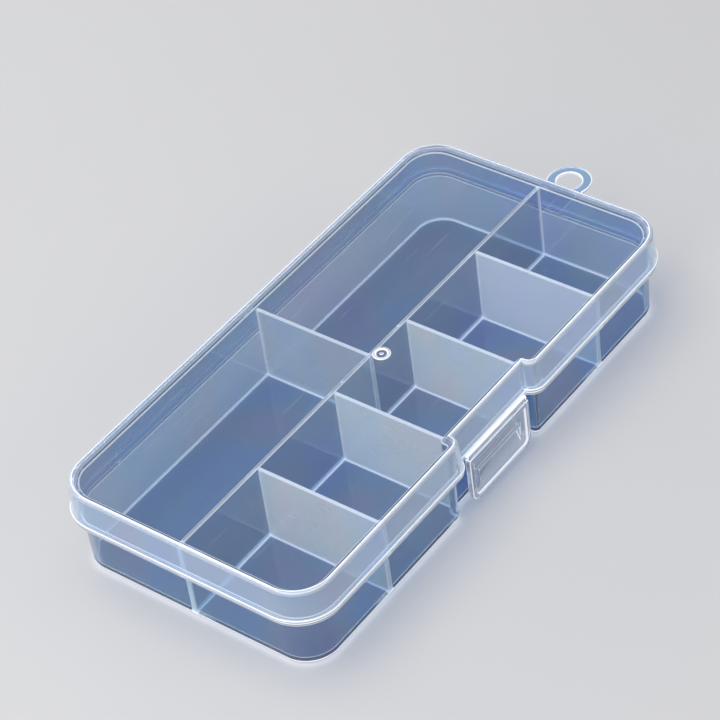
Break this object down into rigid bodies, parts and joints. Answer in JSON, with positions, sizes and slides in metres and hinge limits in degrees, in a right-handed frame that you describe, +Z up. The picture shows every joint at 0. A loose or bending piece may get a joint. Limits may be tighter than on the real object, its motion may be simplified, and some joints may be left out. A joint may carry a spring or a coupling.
{
  "type": "compartment organizer box",
  "caption": "Flat clear plastic organizer box with fixed dividers, one hinged lid, a front latch flap and a hang loop, for beads and small parts.",
  "frame": {"origin": "centre of the tray's underside, on the surface it stands on", "axes": "+X towards the hang loop, +Y towards the lid's hinge, -Y towards the latch, +Z up"},
  "size_m": [0.1684, 0.0774, 0.0256],
  "materials": {
    "clear": "clear polypropylene, glossy, slightly blue",
    "frosted": "clear polypropylene, milky on the cross dividers"
  },
  "bodies": {
    "tray": {"tray_shell": "clear", "long_divider": "clear", "rear_cross_divider": "frosted", "front_cross_divider_1": "frosted", "front_cross_divider_2": "frosted", "front_cross_divider_3": "frosted", "front_cross_divider_4": "frosted", "hang_loop": "clear", "latch_catch": "clear"},
    "lid": {"lid_shell": "clear", "gate_ring": "clear", "lid_hinge_web": "clear"},
    "latch": {"latch_flap": "clear", "latch_border": "clear", "latch_hook": "clear", "latch_hinge_web": "clear"}
  },
  "joints": [
    {"name": "lid_hinge", "type": "hinge", "parent": "tray", "child": "lid", "pos_m": [0, 0.0389, 0.0162], "axis": [-1, 0, 0], "range_deg": [0, 180], "deforming": ["lid_hinge_web"]},
    {"name": "latch_hinge", "type": "hinge", "parent": "lid", "child": "latch", "pos_m": [0, -0.03615, 0.0162], "axis": [-1, 0, 0], "range_deg": [0, 120], "deforming": ["latch_hinge_web"]}
  ]
}
